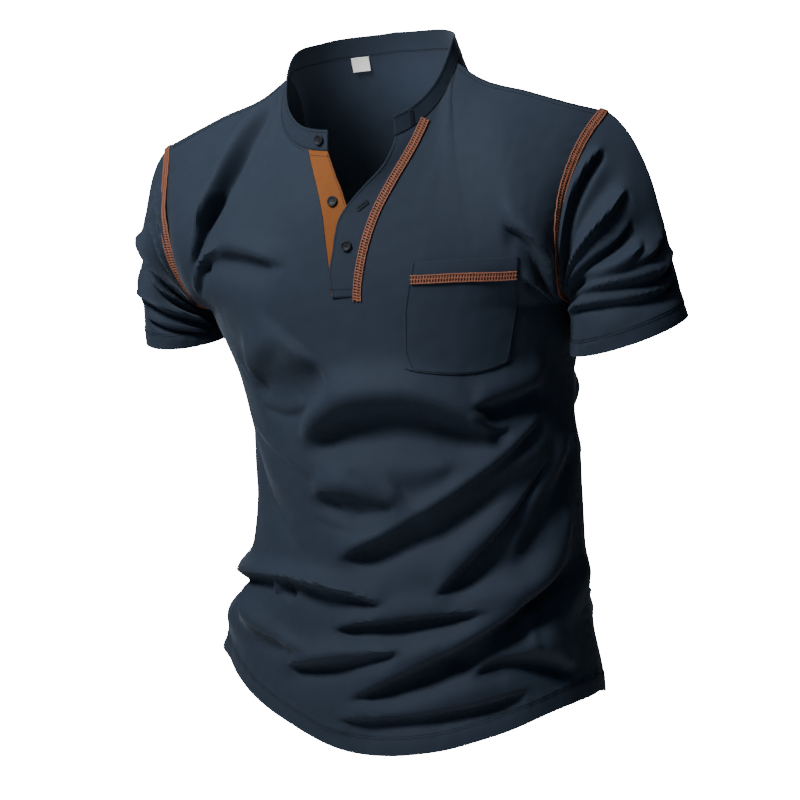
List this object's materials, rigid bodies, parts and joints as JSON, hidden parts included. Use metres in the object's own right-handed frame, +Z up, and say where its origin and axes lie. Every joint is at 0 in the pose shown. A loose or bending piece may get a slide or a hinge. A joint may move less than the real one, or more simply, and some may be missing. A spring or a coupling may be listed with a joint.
{
  "type": "polo shirt",
  "caption": "Short-sleeved jersey shirt with a band collar, an open buttoned placket and a chest pocket, in its worn form with no wearer.",
  "frame": {"origin": "middle of the neck opening at the height of the shoulder seams' inner ends, where the shirt hangs on its wearer", "axes": "+Z up, the shirt's long way; -Y the front; +X the wearer's left"},
  "size_m": [0.6252, 0.3124, 0.7614],
  "materials": {
    "navy_jersey": "fine jersey knit, matt",
    "ochre_facing": "woven facing, matt",
    "label_tape": "plain woven tape, bare",
    "dark_button": "satin gloss"
  },
  "bodies": {
    "root": {"front_panel": "navy_jersey", "back_panel": "navy_jersey", "sleeve_left": "navy_jersey", "sleeve_right": "navy_jersey", "collar_band": "navy_jersey", "placket_overlap": "navy_jersey", "placket_underlap": "ochre_facing", "pocket": "navy_jersey", "neck_label": "label_tape", "button_collar": "dark_button", "button_middle": "dark_button", "button_lower": "dark_button"}
  },
  "joints": []
}
